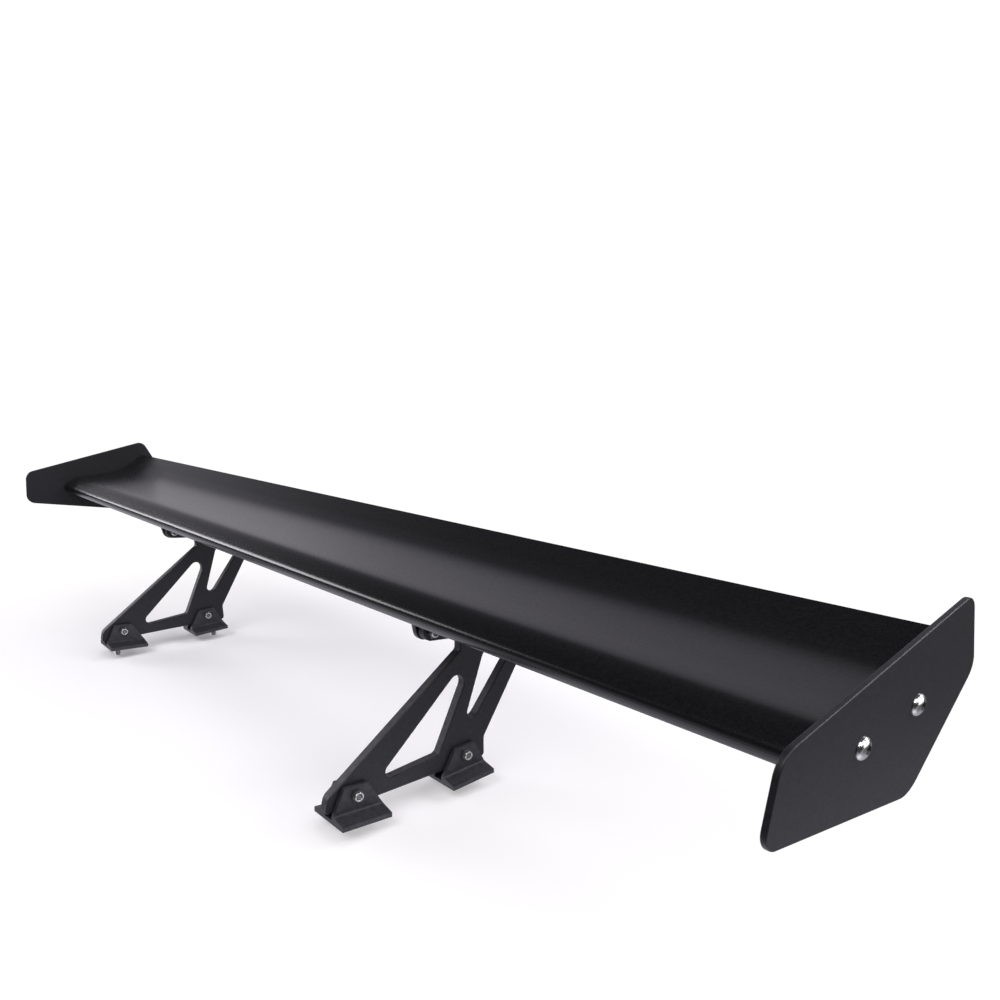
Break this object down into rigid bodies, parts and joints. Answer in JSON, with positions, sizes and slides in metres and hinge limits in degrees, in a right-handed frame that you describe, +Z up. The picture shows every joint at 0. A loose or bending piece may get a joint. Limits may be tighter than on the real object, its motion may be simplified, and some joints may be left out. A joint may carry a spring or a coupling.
{
  "type": "racing rear wing",
  "caption": "Extruded aluminium racing rear wing blade between flat end plates, carried under its belly by truss legs with swivelling slotted feet and studs for a boot lid.",
  "frame": {"origin": "on the ground under the middle of the wing's overall box", "axes": "+X along the span to the left of the car, +Y to the rear of the car, +Z up"},
  "size_m": [1.1066, 0.1904, 0.2023],
  "materials": {
    "blade": "satin black coat",
    "end_plate": "satin black coat",
    "plate_screw": "polished",
    "ear": "semi-gloss black coat",
    "ear_screw": "polished",
    "bolt": "bright zinc",
    "leg": "satin black coat",
    "foot": "satin black coat",
    "stud": "zinc"
  },
  "bodies": {
    "wing": {"wing_blade": "blade", "end_plate_left": "end_plate", "end_plate_right": "end_plate", "plate_screw_left_front": "plate_screw", "plate_screw_left_rear": "plate_screw", "plate_screw_right_front": "plate_screw", "plate_screw_right_rear": "plate_screw", "ear_left_front": "ear", "ear_left_rear": "ear", "ear_right_front": "ear", "ear_right_rear": "ear", "ear_screw_left_front_inner": "ear_screw", "ear_screw_left_front_outer": "ear_screw", "ear_screw_left_rear_inner": "ear_screw", "ear_screw_left_rear_outer": "ear_screw", "ear_screw_right_front_inner": "ear_screw", "ear_screw_right_front_outer": "ear_screw", "ear_screw_right_rear_inner": "ear_screw", "ear_screw_right_rear_outer": "ear_screw", "ear_bolt_left_front": "bolt", "ear_nut_left_front": "bolt", "ear_bolt_left_rear": "bolt", "ear_nut_left_rear": "bolt", "ear_bolt_right_front": "bolt", "ear_nut_right_front": "bolt", "ear_bolt_right_rear": "bolt", "ear_nut_right_rear": "bolt", "leg_left": "leg", "leg_right": "leg", "foot_bolt_left_front": "bolt", "foot_nut_left_front": "bolt", "foot_bolt_left_rear": "bolt", "foot_nut_left_rear": "bolt", "foot_bolt_right_front": "bolt", "foot_nut_right_front": "bolt", "foot_bolt_right_rear": "bolt", "foot_nut_right_rear": "bolt"},
    "left_front_foot": {"foot_left_front": "foot", "stud_left_front": "stud"},
    "left_rear_foot": {"foot_left_rear": "foot", "stud_left_rear": "stud"},
    "right_front_foot": {"foot_right_front": "foot", "stud_right_front": "stud"},
    "right_rear_foot": {"foot_right_rear": "foot", "stud_right_rear": "stud"}
  },
  "joints": [
    {"name": "left_front_foot_swivel", "type": "hinge", "parent": "wing", "child": "left_front_foot", "pos_m": [0.242, -0.0733, 0.028], "axis": [1, 0, 0], "range_deg": [-6, 14]},
    {"name": "left_rear_foot_swivel", "type": "hinge", "parent": "wing", "child": "left_rear_foot", "pos_m": [0.242, 0.0217, 0.028], "axis": [1, 0, 0], "range_deg": [-13, 7]},
    {"name": "right_front_foot_swivel", "type": "hinge", "parent": "wing", "child": "right_front_foot", "pos_m": [-0.242, -0.0733, 0.028], "axis": [1, 0, 0], "range_deg": [-6, 14]},
    {"name": "right_rear_foot_swivel", "type": "hinge", "parent": "wing", "child": "right_rear_foot", "pos_m": [-0.242, 0.0217, 0.028], "axis": [1, 0, 0], "range_deg": [-13, 7]}
  ]
}
